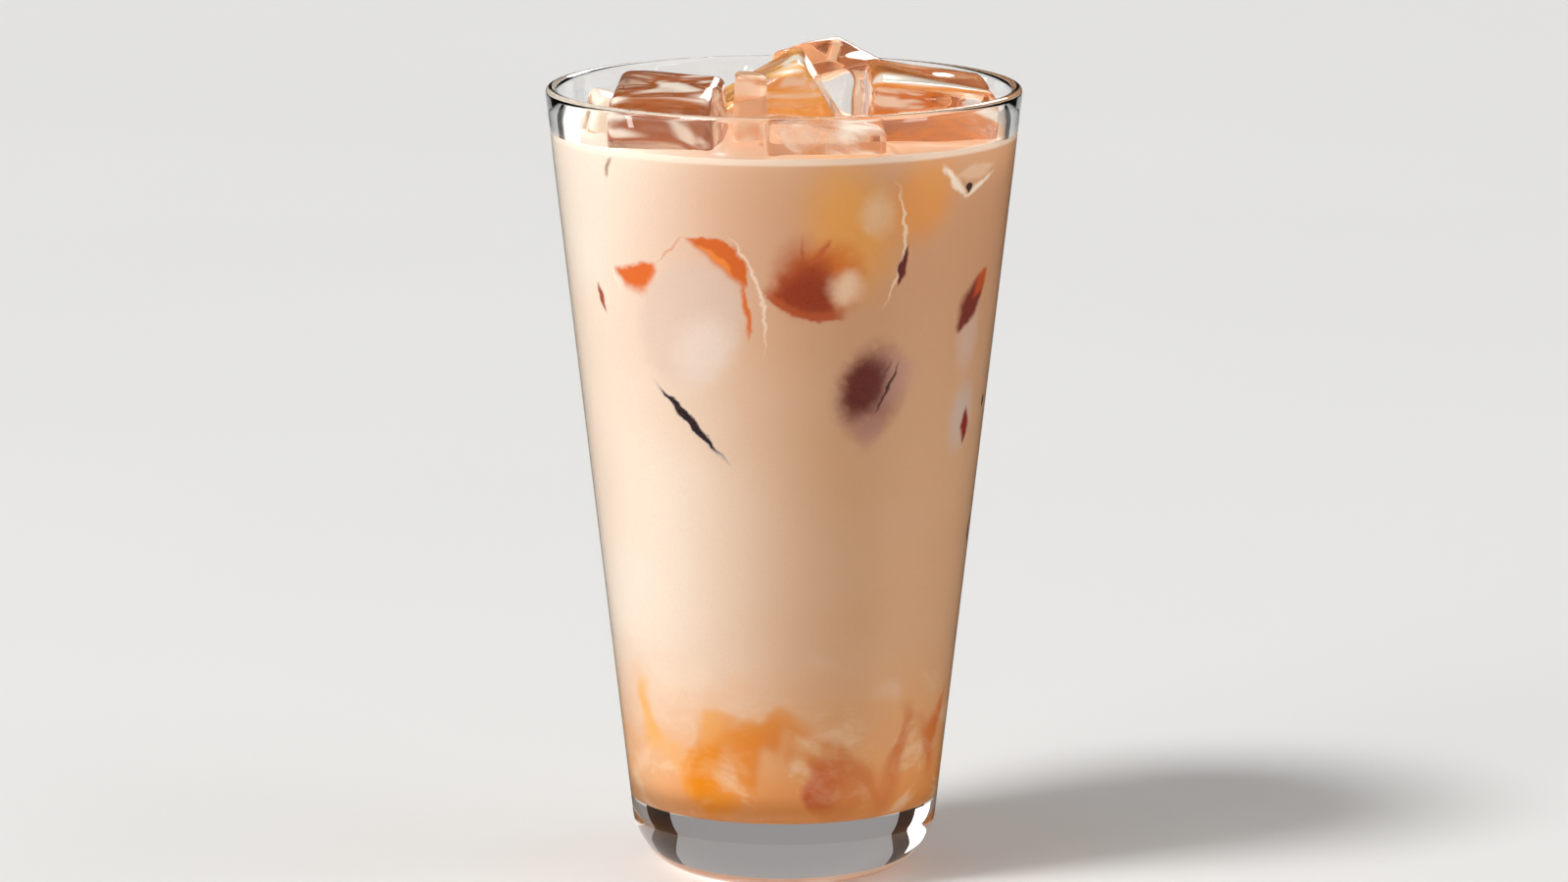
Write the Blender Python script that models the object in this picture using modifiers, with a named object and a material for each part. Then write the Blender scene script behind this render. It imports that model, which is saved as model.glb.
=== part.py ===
"""An iced latte in a tall conical glass, with ice cubes standing out of the drink.

Metres, +Z up. The origin is the middle of the glass's underside, and -Y faces the viewer.
"""

import math

import bmesh
import bpy
import numpy as np
from mathutils import Euler, Vector

MM = 0.001
PART_NAME = "iced_latte"

# Glass: a straight taper from the rim to a round heel, with a thick clear base
GLASS_HEIGHT = 148.0 * MM
RIM_RADIUS = 44.4 * MM
TABLE_RADIUS = 27.2 * MM  # where the straight outer wall would meet the table
RIM_WALL = 2.2 * MM
FLOOR_WALL = 2.9 * MM
FLOOR_HEIGHT = 13.4 * MM
FLOOR_CORNER = 7.0 * MM
HEEL_RADIUS = 12.0 * MM
PUNT_RADIUS = 11.5 * MM
PUNT_DEPTH = 1.0 * MM
TURN_STEPS = 64

# Drink: milky coffee up to the level, with an amber layer below it whose top is wavy
LEVEL = 139.2 * MM
LAYER_HEIGHT = 28.0 * MM
LAYER_WAVES = (  # height, waves across 100 mm in x and y, phase in turns
    (2.6 * MM, 1.1, 0.4, 0.10),
    (1.5 * MM, -0.7, 1.9, 0.35),
    (0.9 * MM, 3.1, 1.3, 0.70),
)
WAVE_SPAN = 100.0 * MM
LAYER_GRID = 26
GAP = 0.3 * MM

# Ice: name, middle, width, depth and height, and turn about X, Y and Z in degrees
ICE = (
    ("ice_left", (-20.8, -18.0, 139.6), (19.5, 20.0, 22.0), (9.0, -3.0, -8.0)),
    ("ice_front", (7.6, -26.8, 134.6), (22.0, 18.0, 21.0), (-5.0, 4.0, 5.0)),
    ("ice_peak", (-0.5, 1.2, 139.7), (22.0, 17.0, 22.0), (6.0, -32.0, 3.0)),
    ("ice_tall", (6.8, 23.0, 139.2), (17.0, 15.5, 24.0), (16.0, -3.0, 38.0)),
    ("ice_right", (26.4, -2.6, 139.2), (23.0, 25.0, 23.0), (5.0, 6.0, 6.0)),
    ("ice_back_left", (-16.8, 21.0, 136.5), (16.0, 15.0, 17.0), (-6.0, 9.0, 28.0)),
    ("ice_back_right", (24.4, 20.8, 138.0), (11.5, 12.0, 14.0), (8.0, 5.0, 38.0)),
    ("ice_chip", (-33.0, -2.4, 141.6), (7.0, 8.0, 11.0), (8.0, 12.0, 18.0)),
    ("ice_chunk", (-6.2, -13.2, 145.6), (6.0, 6.6, 13.0), (4.0, 2.0, 6.0)),
)
ICE_ROUNDING = 3.2 * MM
ROUNDING_SHARE = 0.3  # most rounding on a small block, as a share of its least size
ICE_ROUNDING_STEPS = 3
ICE_SHEAR = 0.05  # most lean of one side against another
ICE_NARROWING = 0.10  # most narrowing of a block along its size
ICE_SEED = 11

TAPER = (RIM_RADIUS - TABLE_RADIUS) / GLASS_HEIGHT
LEAN = math.atan(TAPER)


def outer_radius(z):
    return TABLE_RADIUS + TAPER * z


def inner_radius(z):
    """The wall thins evenly from the floor up to the rim."""
    rise = (z - FLOOR_HEIGHT) / (GLASS_HEIGHT - FLOOR_HEIGHT)
    return outer_radius(z) - FLOOR_WALL - (RIM_WALL - FLOOR_WALL) * rise


def arc(centre, radius, start, end, count):
    """Points on an arc in the profile plane, from start to end degrees, both ends included."""
    turns = [math.radians(start + (end - start) * i / (count - 1)) for i in range(count)]
    return [(centre[0] + radius * math.cos(t), centre[1] + radius * math.sin(t)) for t in turns]


def corner_arc(floor, radius, inset, count):
    """The round inner corner between a floor and the leaning inner wall moved in by inset, from the floor up."""
    centre_z = floor + radius
    wall_slope = (inner_radius(GLASS_HEIGHT) - inner_radius(FLOOR_HEIGHT)) / (GLASS_HEIGHT - FLOOR_HEIGHT)
    lean = math.atan(wall_slope)
    centre_x = inner_radius(centre_z) - inset - radius / math.cos(lean)
    return arc((centre_x, centre_z), radius, -90.0, -math.degrees(lean), count)


def material(name, colour, roughness, transmission=0.0, ior=1.45):
    made = bpy.data.materials.new(name)
    made.use_nodes = True
    shader = made.node_tree.nodes["Principled BSDF"]
    shader.inputs["Base Color"].default_value = (*colour, 1.0)
    shader.inputs["Roughness"].default_value = roughness
    shader.inputs["Metallic"].default_value = 0.0
    shader.inputs["Transmission Weight"].default_value = transmission
    shader.inputs["IOR"].default_value = ior
    return made


def collection(name, hidden=False):
    made = bpy.data.collections.new(name)
    bpy.context.scene.collection.children.link(made)
    made.hide_render = hidden
    return made


def add_object(name, mesh, home, finish=None):
    made = bpy.data.objects.new(name, mesh)
    home.objects.link(made)
    if finish:
        mesh.materials.append(finish)
    return made


def make_cutter(cutter):
    cutter.hide_render = True
    cutter.display_type = "WIRE"
    return cutter


def turned(name, profile, home, finish):
    """A profile in the XZ plane, turned about Z. Both its ends are on the axis."""
    mesh = bpy.data.meshes.new(name)
    points = [(x, 0.0, z) for x, z in profile]
    mesh.from_pydata(points, [(i, i + 1) for i in range(len(points) - 1)], [])
    made = add_object(name, mesh, home, finish)
    screw = made.modifiers.new("Turn", "SCREW")
    screw.axis = "Z"
    screw.steps = TURN_STEPS
    screw.render_steps = TURN_STEPS
    screw.use_merge_vertices = True
    screw.merge_threshold = 0.00001
    screw.use_smooth_shade = True
    return made


def cut(body, cutter, operation="DIFFERENCE"):
    boolean = body.modifiers.new(cutter.name, "BOOLEAN")
    boolean.operation = operation
    boolean.solver = "EXACT"
    boolean.object = cutter
    return boolean


def glass_profile():
    """From the middle of the inner floor, up the inner wall, over the rim, down outside and back under."""
    bead = RIM_WALL / 2
    rim_z = GLASS_HEIGHT - bead
    rim = arc((outer_radius(rim_z) - bead, rim_z), bead, 180.0, 0.0, 7)
    heel_x = outer_radius(HEEL_RADIUS) - HEEL_RADIUS / math.cos(LEAN)
    heel = arc((heel_x, HEEL_RADIUS), HEEL_RADIUS, -math.degrees(LEAN), -90.0, 8)
    punt = [(PUNT_RADIUS * share, PUNT_DEPTH * (1 - share**2)) for share in (1.0, 0.67, 0.33)]
    inner = corner_arc(FLOOR_HEIGHT, FLOOR_CORNER, 0.0, 6)
    return [(0.0, FLOOR_HEIGHT)] + inner + rim + heel + punt + [(0.0, PUNT_DEPTH)]


def drink_profile():
    """The space inside the glass up to the level, kept a gap away from the wall and the floor."""
    side = corner_arc(FLOOR_HEIGHT + GAP, FLOOR_CORNER - GAP, GAP, 6)
    top = (inner_radius(LEVEL) - GAP, LEVEL)
    return [(0.0, LEVEL), top] + side[::-1] + [(0.0, FLOOR_HEIGHT + GAP)]


def layer_top(x, y):
    """Height of the amber layer: a level sum of a few sine waves that cross at angles."""
    height = LAYER_HEIGHT
    for size, across, along, phase in LAYER_WAVES:
        height += size * math.sin(math.tau * ((across * x + along * y) / WAVE_SPAN + phase))
    return height


def wavy_block(name, rise, home):
    """A closed block from below the floor up to the layer's wavy top, moved up by rise."""
    half = 1.15 * inner_radius(LAYER_HEIGHT)
    frame = bmesh.new()
    bmesh.ops.create_grid(frame, x_segments=LAYER_GRID, y_segments=LAYER_GRID, size=half)
    for vertex in frame.verts:
        vertex.co.z = layer_top(vertex.co.x, vertex.co.y) + rise
    edge = [e for e in frame.edges if e.is_boundary]
    skirt = bmesh.ops.extrude_edge_only(frame, edges=edge)["geom"]
    low = [v for v in skirt if isinstance(v, bmesh.types.BMVert)]
    for vertex in low:
        vertex.co.z = 0.0
    bmesh.ops.contextual_create(frame, geom=[e for e in frame.edges if e.is_boundary])
    bmesh.ops.recalc_face_normals(frame, faces=frame.faces)
    mesh = bpy.data.meshes.new(name)
    frame.to_mesh(mesh)
    frame.free()
    return make_cutter(add_object(name, mesh, home))


def melted(share, seed):
    """Where melting moves a point given as shares of the block's size: a shear, then a narrowing towards one end,
    both of which keep flat sides flat."""
    draw = np.random.default_rng(ICE_SEED + seed)
    shear = np.eye(3) + draw.uniform(-ICE_SHEAR, ICE_SHEAR, (3, 3)) * (1 - np.eye(3))
    narrowing = draw.uniform(-ICE_NARROWING, ICE_NARROWING, 3)
    moved = shear @ np.array(share)
    return moved / (1 + narrowing @ moved)


def ice_block(index, grow, home, finish=None):
    """A rounded, slightly skewed cuboid. Grow makes each side stand out by that much, for the pocket it sits in."""
    name, place, size, turn = ICE[index]
    size = Vector(size) * MM
    frame = bmesh.new()
    bmesh.ops.create_cube(frame, size=1.0)
    for vertex in frame.verts:
        share = [side * (1 + 2 * grow / length) for side, length in zip(vertex.co, size)]
        vertex.co = Vector(melted(share, index)) * size
    mesh = bpy.data.meshes.new(name)
    frame.to_mesh(mesh)
    frame.free()
    made = add_object(name if finish else name + "_pocket", mesh, home, finish)
    made.location = Vector(place) * MM
    made.rotation_euler = Euler([math.radians(angle) for angle in turn])
    bevel = made.modifiers.new("Melted edges", "BEVEL")
    bevel.width = min(ICE_ROUNDING, ROUNDING_SHARE * min(size)) + grow
    bevel.segments = ICE_ROUNDING_STEPS
    bevel.limit_method = "NONE"
    return made


def build_glass(home):
    clear = material("clear_glass", (0.95, 0.97, 0.96), 0.03, transmission=1.0, ior=1.5)
    return turned("glass", glass_profile(), home, clear)


def build_drink(home, cutters):
    milky = material("milky_coffee", (0.80, 0.56, 0.36), 0.35)
    drink = turned("drink", drink_profile(), home, milky)
    cut(drink, wavy_block("layer_cutter_high", GAP, cutters))
    for index in range(len(ICE)):
        cut(drink, make_cutter(ice_block(index, GAP, cutters)))
    return drink


def build_layer(home, cutters):
    amber = material("amber_coffee", (0.84, 0.36, 0.09), 0.35)
    layer = turned("amber_layer", drink_profile(), home, amber)
    cut(layer, wavy_block("layer_cutter_low", 0.0, cutters), "INTERSECT")
    return layer


def build_ice(home):
    clear = material("clear_ice", (0.93, 0.85, 0.76), 0.08, transmission=0.8, ior=1.31)
    for index in range(len(ICE)):
        ice_block(index, 0.0, home, clear)


def main():
    for old in list(bpy.data.objects):
        bpy.data.objects.remove(old, do_unlink=True)
    home = collection(PART_NAME)
    cutters = collection("cutters", hidden=True)
    build_glass(home)
    build_drink(home, cutters)
    build_layer(home, cutters)
    build_ice(home)


main()
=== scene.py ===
"""The looks of an iced latte in a conical glass.

Clear glass, milky coffee with an amber swirl, wet ice and a pale stage.
Laid out as an add-on with one operator for each group of pieces. It is run as a script.
Metres, +Z up, and -Y faces the viewer.
"""

import math

import bpy
import numpy as np
from bpy.props import FloatProperty, FloatVectorProperty, PointerProperty
from mathutils import Euler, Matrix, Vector


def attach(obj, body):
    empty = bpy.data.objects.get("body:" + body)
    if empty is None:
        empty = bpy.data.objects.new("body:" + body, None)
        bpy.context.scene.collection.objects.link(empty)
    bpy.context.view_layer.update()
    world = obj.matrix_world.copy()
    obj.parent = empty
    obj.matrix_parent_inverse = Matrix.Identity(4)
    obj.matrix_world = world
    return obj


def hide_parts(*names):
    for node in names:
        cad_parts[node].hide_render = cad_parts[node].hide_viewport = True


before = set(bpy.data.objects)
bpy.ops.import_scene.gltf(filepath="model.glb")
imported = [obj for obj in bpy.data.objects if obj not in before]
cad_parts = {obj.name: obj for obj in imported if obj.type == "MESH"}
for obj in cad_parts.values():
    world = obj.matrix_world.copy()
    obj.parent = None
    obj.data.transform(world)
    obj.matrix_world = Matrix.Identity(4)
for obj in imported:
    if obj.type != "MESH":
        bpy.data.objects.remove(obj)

bl_info = {
    "name": "Iced latte",
    "version": (1, 0, 0),
    "blender": (4, 5, 0),
    "location": "View3D > Sidebar > Latte",
    "description": "Builds the glass, the drink, the ice and the stage",
    "category": "Add Mesh",
}

MM = 0.001

# Glass, as the solid has it
GLASS_HEIGHT = 148.0 * MM
RIM_RADIUS = 44.4 * MM
TABLE_RADIUS = 27.2 * MM
RIM_WALL = 2.2 * MM
FLOOR_WALL = 2.9 * MM
FLOOR_HEIGHT = 13.4 * MM
FLOOR_CORNER = 7.0 * MM
HEEL_RADIUS = 12.0 * MM
PUNT_RADIUS = 11.5 * MM
PUNT_DEPTH = 1.0 * MM
TAPER = (RIM_RADIUS - TABLE_RADIUS) / GLASS_HEIGHT
LEAN = math.atan(TAPER)
TURN_COLUMNS = 256
FLOOR_ROWS, WALL_ROWS, UNDER_ROWS = 6, 40, 2
CORNER_POINTS, RIM_POINTS, HEEL_POINTS, PUNT_POINTS = 16, 15, 26, 10
PUNT_MIDDLE = 0.1  # the innermost ring under the foot, as a share of the hollow's radius
GLASS_SHARP_EDGE = 50.0
GLASS_IOR = 1.5

# Drink
LEVEL = 139.2 * MM
REACH = 0.12 * MM  # how far the drink stands in the wall, so that no air shows between them
DRINK_FLOOR_ROWS, DRINK_CORNER_POINTS, DRINK_ROWS, TOP_RINGS = 5, 14, 110, 70
TOP_CROWDING = 1.35  # above 1, the rings of the surface stand closer at the wall, where it climbs
LEVEL_TOLERANCE = 1e-7
SWELL = 0.12 * MM
SWELL_WAVES, SWELL_SEED = 10, 5
SWELL_SHORTEST, SWELL_LONGEST = 6.0 * MM, 24.0 * MM
DRINK_SHARP_EDGE = 40.0
DRINK_IOR = 1.35
WALL_SCALE = 36.0  # mm of rolled-out wall for each radian round the drink

# Ice: name, middle, width, depth and height, and turn about X, Y and Z in degrees, as the solids have them
ICE = (
    ("ice_left", (-20.8, -18.0, 139.6), (19.5, 20.0, 22.0), (9.0, -3.0, -8.0)),
    ("ice_front", (7.6, -26.8, 134.6), (22.0, 18.0, 21.0), (-5.0, 4.0, 5.0)),
    ("ice_peak", (-0.5, 1.2, 139.7), (22.0, 17.0, 22.0), (6.0, -32.0, 3.0)),
    ("ice_tall", (6.8, 23.0, 139.2), (17.0, 15.5, 24.0), (16.0, -3.0, 38.0)),
    ("ice_right", (26.4, -2.6, 139.2), (23.0, 25.0, 23.0), (5.0, 6.0, 6.0)),
    ("ice_back_left", (-16.8, 21.0, 136.5), (16.0, 15.0, 17.0), (-6.0, 9.0, 28.0)),
    ("ice_back_right", (24.4, 20.8, 138.0), (11.5, 12.0, 14.0), (8.0, 5.0, 38.0)),
    ("ice_chip", (-33.0, -2.4, 141.6), (7.0, 8.0, 11.0), (8.0, 12.0, 18.0)),
    ("ice_chunk", (-6.2, -13.2, 145.6), (6.0, 6.6, 13.0), (4.0, 2.0, 6.0)),
)
ICE_ROUNDING = 3.2 * MM
ROUNDING_SHARE = 0.3
ICE_SHEAR = 0.05
ICE_NARROWING = 0.10
ICE_SEED = 11
ICE_EDGE = 0.62  # the visible edges' rounding as a share of the solid's
ICE_WAVES, ICE_WAVE_SEED = 16, ICE_SEED + 40
ICE_WAVE_SHORTEST, ICE_WAVE_LONGEST = 8.0 * MM, 30.0 * MM
ICE_CELLS = 44
ICE_IOR = 1.31
POCKET_CELLS = 16
POCKET_SHRINK = 0.1 * MM  # how far the drink reaches into each block

# Camera, as fitted to the photograph's outline of the glass
CAMERA_DISTANCE = 1.441
CAMERA_HEIGHT = 0.3429
CAMERA_PITCH = 10.3
SENSOR_WIDTH = 36.0
IMAGE_WIDTH = 1600
FOCAL_PIXELS = 7997
CLIP_START, CLIP_END = 0.05, 50.0

# Stage. Softboxes: name, place, what they aim at, width and height, and colour
MIDDLE, FOOT = (0.0, 0.0, 0.08), (0.0, 0.0, 0.02)
WARM, WHITE = (1.0, 0.985, 0.96), (1.0, 1.0, 1.0)
SOFTBOXES = (
    ("key_light", (-0.78, -0.62, 0.66), MIDDLE, (0.5, 0.5), WARM),
    ("fill_light", (0.62, -0.30, 0.20), MIDDLE, (0.16, 0.34), WHITE),
    ("back_light", (0.25, 0.75, 0.55), MIDDLE, (0.5, 0.2), WHITE),
    ("low_light", (-0.26, 0.20, 0.07), FOOT, (0.10, 0.12), WHITE),
    ("strip_light", (-0.42, -0.10, 0.22), MIDDLE, (0.03, 0.40), WHITE),
)
# Even lights from far away: name, direction they come from, and angle in degrees, which softens their shadows
FAR_LIGHTS = (
    ("sun_light", (-0.50, -0.30, 0.81), 14.0),
    ("far_fill", (0.85, -0.14, 0.50), 60.0),
)
GROUND_RADIUS, GROUND_HEIGHT, GROUND_POINTS = 6.0, -0.0002, 96
GROUND_NOISE = (3.0, 2.0)
GROUND_TONES = ((0.73, 0.725, 0.71, 1.0), (0.77, 0.765, 0.75, 1.0))
CLOTH_TONE = (0.02, 0.02, 0.02, 1.0)
WORLD_TONE = (0.9, 0.9, 0.9, 1.0)
# Dark cards that only reflections see: name, and radius and height of their two edges
CARD_POINTS = 64
CARDS = (
    ("card_low", (0.045, 0.0004), (0.9, 0.0004)),
    ("card_round", (2.4, 0.0), (2.4, 2.2)),
)
# Dark flags that the glass shows at its sides: name, middle across, place in depth, and half width
FLAGS = (
    ("flag_left", -0.30, 0.30, 0.10),
    ("flag_right", 0.30, 0.32, 0.09),
)
FLAG_HEIGHT = 0.45


def outer_radius(z):
    return TABLE_RADIUS + TAPER * z


def inner_radius(z):
    """The wall thins evenly from the floor up to the rim."""
    rise = (z - FLOOR_HEIGHT) / (GLASS_HEIGHT - FLOOR_HEIGHT)
    return outer_radius(z) - FLOOR_WALL - (RIM_WALL - FLOOR_WALL) * rise


INNER_SLOPE = (inner_radius(GLASS_HEIGHT) - inner_radius(FLOOR_HEIGHT)) / (GLASS_HEIGHT - FLOOR_HEIGHT)


def srgb(red, green, blue):
    """A colour given as 0 to 255 display values, as the linear values that shaders take."""
    values = np.array([red, green, blue]) / 255.0
    linear = np.where(values <= 0.04045, values / 12.92, ((values + 0.055) / 1.055) ** 2.4)
    return (*map(float, linear), 1.0)


def arc(centre_x, centre_z, radius, start, end, count):
    """Rows of x and z on an arc from start to end degrees, both ends included."""
    turns = np.radians(np.linspace(start, end, count))
    return np.column_stack((centre_x + radius * np.cos(turns), centre_z + radius * np.sin(turns)))


def stretch(start, end, count):
    """Evenly spaced rows between two points of a profile, without its ends."""
    share = np.linspace(0.0, 1.0, count + 2)[1:-1, None]
    return np.array(start) * (1 - share) + np.array(end) * share


def new_mesh_object(name, points, faces, smooth_below=None):
    """A mesh object at the origin. smooth_below is the angle in degrees past which an edge stays sharp."""
    mesh = bpy.data.meshes.new(name)
    mesh.from_pydata(points, [], faces)
    mesh.validate()
    mesh.shade_smooth()
    if smooth_below:
        mesh.set_sharp_from_angle(angle=math.radians(smooth_below))
    made = bpy.data.objects.new(name, mesh)
    bpy.context.scene.collection.objects.link(made)
    return made


def turned_surface(profile, columns, lift=None):
    """Points and faces of a profile turned about Z, whose first and last points are on the axis.

    Point (i, j) is (x_i cos t_j, x_i sin t_j, z_i), with t_j evenly round the circle. lift(x, y, z) gives new
    heights. The two ends close in fans. Faces point outwards when the profile runs up inside and down
    outside.
    """
    turns = np.linspace(0.0, math.tau, columns, endpoint=False)
    rows = profile[1:-1]
    x = rows[:, :1] * np.cos(turns)
    y = rows[:, :1] * np.sin(turns)
    z = np.repeat(rows[:, 1:], columns, axis=1)
    if lift:
        z = lift(x, y, z)
    first = np.array([[0.0, 0.0, profile[0, 1]]])
    last = np.array([[0.0, 0.0, profile[-1, 1]]])
    points = np.concatenate((first, np.stack((x, y, z), axis=-1).reshape(-1, 3), last))
    here = 1 + np.arange(len(rows) * columns).reshape(len(rows), columns)
    there = np.roll(here, -1, axis=1)
    quads = np.stack((here[:-1], here[1:], there[1:], there[:-1]), axis=-1).reshape(-1, 4)
    top = np.stack((np.zeros(columns, int), here[0], there[0]), axis=-1)
    bottom = np.stack((np.full(columns, len(points) - 1), there[-1], here[-1]), axis=-1)
    return points, quads.tolist() + top.tolist() + bottom.tolist()


def melting(index):
    """The shear matrix and the narrowing of one ice block, drawn as for its solid."""
    draw = np.random.default_rng(ICE_SEED + index)
    shear = np.eye(3) + draw.uniform(-ICE_SHEAR, ICE_SHEAR, (3, 3)) * (1 - np.eye(3))
    return shear, draw.uniform(-ICE_NARROWING, ICE_NARROWING, 3)


def block_turn(turn):
    """The rotation matrix for turns about X, Y and Z in degrees."""
    return np.array(Euler([math.radians(angle) for angle in turn]).to_matrix())


def box_grid(cells):
    """Points and faces of a grid on the surface of the box from -1 to 1, with its seams joined.

    Point (i, j) of a side has two coordinates u_i and v_j, evenly from -1 to 1, and the third is -1 or 1.
    """
    line = np.linspace(-1.0, 1.0, cells + 1)
    u, v = np.meshgrid(line, line, indexing="ij")
    sides = []
    for axis in range(3):
        for direction in (-1.0, 1.0):
            side = np.empty((*u.shape, 3))
            side[..., axis] = direction
            side[..., (axis + 1) % 3] = u * direction
            side[..., (axis + 2) % 3] = v
            sides.append(side)
    points = np.concatenate([side.reshape(-1, 3) for side in sides])
    index = np.arange(len(points)).reshape(6, cells + 1, cells + 1)
    quads = np.stack((index[:, :-1, :-1], index[:, 1:, :-1], index[:, 1:, 1:], index[:, :-1, 1:]), axis=-1)
    points, joined = np.unique(np.round(points, 9), axis=0, return_inverse=True)
    return points, joined.reshape(-1)[quads.reshape(-1, 4)]


def ripples(points, size, waves, shortest, longest, seed):
    """A smooth height at each point: a sum of sine waves in random directions, about size high.

    Each wave's height grows in step with its length.
    """
    draw = np.random.default_rng(seed)
    directions = draw.normal(size=(waves, 3))
    directions /= np.linalg.norm(directions, axis=1, keepdims=True)
    lengths = np.exp(draw.uniform(math.log(shortest), math.log(longest), waves))
    phases = draw.uniform(0.0, math.tau, waves)
    heights = np.sin(points @ (directions * math.tau / lengths[:, None]).T + phases) * (lengths / longest)
    return size * heights.sum(axis=1) / math.sqrt(waves)


def ice_points(index, cells, waviness, grow=0.0):
    """Points and faces of one block: a box with round edges, melted as its solid is, then put in place.

    A point q on the box is moved to c + (r + w) n, where c is q held inside the box less its rounding r,
    n is the direction from c to q and w is the ripple there.
    """
    _, place, size, turn = ICE[index]
    half = np.array(size) * MM / 2
    rounding = ICE_EDGE * min(ICE_ROUNDING, ROUNDING_SHARE * 2 * half.min())
    grid, faces = box_grid(cells)
    outer = grid * half
    core = np.clip(outer, rounding - half, half - rounding)
    out = outer - core
    out /= np.linalg.norm(out, axis=1, keepdims=True)
    block = core + out * (rounding + grow)
    waves = ripples(block, waviness, ICE_WAVES, ICE_WAVE_SHORTEST, ICE_WAVE_LONGEST, ICE_WAVE_SEED + index)
    block += out * waves[:, None]
    shear, narrowing = melting(index)
    share = (block / (2 * half)) @ shear.T
    share /= 1 + share @ narrowing[:, None]
    points = (share * 2 * half) @ block_turn(turn).T + np.array(place) * MM
    return points, faces.tolist()


class Wire:
    """An output of a material's node. Arithmetic on it adds Math nodes."""

    def __init__(self, finish, socket):
        self.finish = finish
        self.socket = socket

    def __add__(self, other):
        return self.finish.math("ADD", self, other)

    def __radd__(self, other):
        return self.finish.math("ADD", other, self)

    def __sub__(self, other):
        return self.finish.math("SUBTRACT", self, other)

    def __rsub__(self, other):
        return self.finish.math("SUBTRACT", other, self)

    def __mul__(self, other):
        return self.finish.math("MULTIPLY", self, other)

    def __rmul__(self, other):
        return self.finish.math("MULTIPLY", other, self)


class Finish:
    """A material, and short ways to add its nodes."""

    def __init__(self, name):
        self.material = bpy.data.materials.new(name)
        self.material.use_nodes = True
        self.tree = self.material.node_tree
        self.tree.nodes.clear()

    def node(self, kind, settings=None, inputs=None, output=0):
        """Adds a node. Its settings come first, then the values or links of its inputs."""
        made = self.tree.nodes.new(kind)
        for key, value in (settings or {}).items():
            setattr(made, key, value)
        for key, value in (inputs or {}).items():
            if isinstance(value, Wire):
                self.tree.links.new(value.socket, made.inputs[key])
            else:
                made.inputs[key].default_value = value
        return Wire(self, made.outputs[output] if made.outputs else None)

    def math(self, operation, *values):
        return self.node("ShaderNodeMath", {"operation": operation}, dict(enumerate(values)))

    def vector_math(self, operation, inputs, output="Vector"):
        return self.node("ShaderNodeVectorMath", {"operation": operation}, inputs, output)

    def place(self):
        """Object coordinates."""
        return self.node("ShaderNodeTexCoord", output="Object")

    def split(self, vector):
        parts = self.node("ShaderNodeSeparateXYZ", inputs={0: vector})
        outputs = parts.socket.node.outputs
        return [Wire(self, outputs[i]) for i in range(3)]

    def rise(self, value, low, high, top=1.0):
        """0 below low, top above high and a smooth step between. A low above high falls instead."""
        inputs = {"Value": value, "From Min": low, "From Max": high, "To Max": top}
        return self.node("ShaderNodeMapRange", {"interpolation_type": "SMOOTHSTEP"}, inputs)

    def mix(self, share, first, second):
        """Colour first where share is 0, second where it is 1."""
        inputs = {0: share, 6: first, 7: second}
        return self.node("ShaderNodeMix", {"data_type": "RGBA"}, inputs, output=2)

    def noise(self, vector, scale, detail=3.0, roughness=0.5, distortion=0.0, output=0):
        return self.node("ShaderNodeTexNoise", None, {
            "Vector": vector,
            "Scale": scale,
            "Detail": detail,
            "Roughness": roughness,
            "Distortion": distortion,
        }, output)

    def warp(self, vector, amount, scale, detail=2.0):
        """The vector moved about by a coloured noise, up to half of amount each way."""
        pushed = self.noise(vector, scale, detail, output=1)
        centred = self.vector_math("SUBTRACT", {0: pushed, 1: (0.5, 0.5, 0.5)})
        scaled = self.vector_math("SCALE", {0: centred, "Scale": amount})
        return self.vector_math("ADD", {0: vector, 1: scaled})

    def diffuse(self, colour):
        return self.node("ShaderNodeBsdfDiffuse", None, {"Color": colour})

    def surface(self, shader):
        self.node("ShaderNodeOutputMaterial", None, {"Surface": shader})
        return self.material


def opaque(colour):
    return (*colour, 1.0)


def clear_for_lamps(finish, shader, tint):
    """Lets the lamps' light through a clear material, so that what is inside is lit."""
    shadow = finish.node("ShaderNodeLightPath", output="Is Shadow Ray")
    through = finish.node("ShaderNodeBsdfTransparent", None, {"Color": tint})
    return finish.node("ShaderNodeMixShader", None, {0: shadow, 1: shader, 2: through})


# Glass: noise of its finger-dulled patches, where they start and are full, and the roughness that they add
DULL_NOISE = (45.0, 2.0)
DULL_RISE = (0.5, 0.75)
DULL_ROUGHNESS, GLASS_ROUGHNESS = 0.03, 0.002
GLASS_SHADOW = (0.96, 0.97, 0.97, 1.0)


def glass_finish(colours):
    """Clear glass with finger-dulled patches."""
    finish = Finish("clear_glass")
    patches = finish.rise(finish.noise(finish.place(), *DULL_NOISE), *DULL_RISE)
    shader = finish.node("ShaderNodeBsdfPrincipled", None, {
        "Base Color": opaque(colours.glass),
        "Roughness": patches * DULL_ROUGHNESS + GLASS_ROUGHNESS,
        "IOR": GLASS_IOR,
        "Transmission Weight": 1.0,
    })
    return finish.surface(clear_for_lamps(finish, shader, GLASS_SHADOW))


STAIN_FADE_OUT, STAIN_FADE_IN = 0.3, 0.7  # how far a fully soft edge fades past its ellipse and inside it

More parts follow.
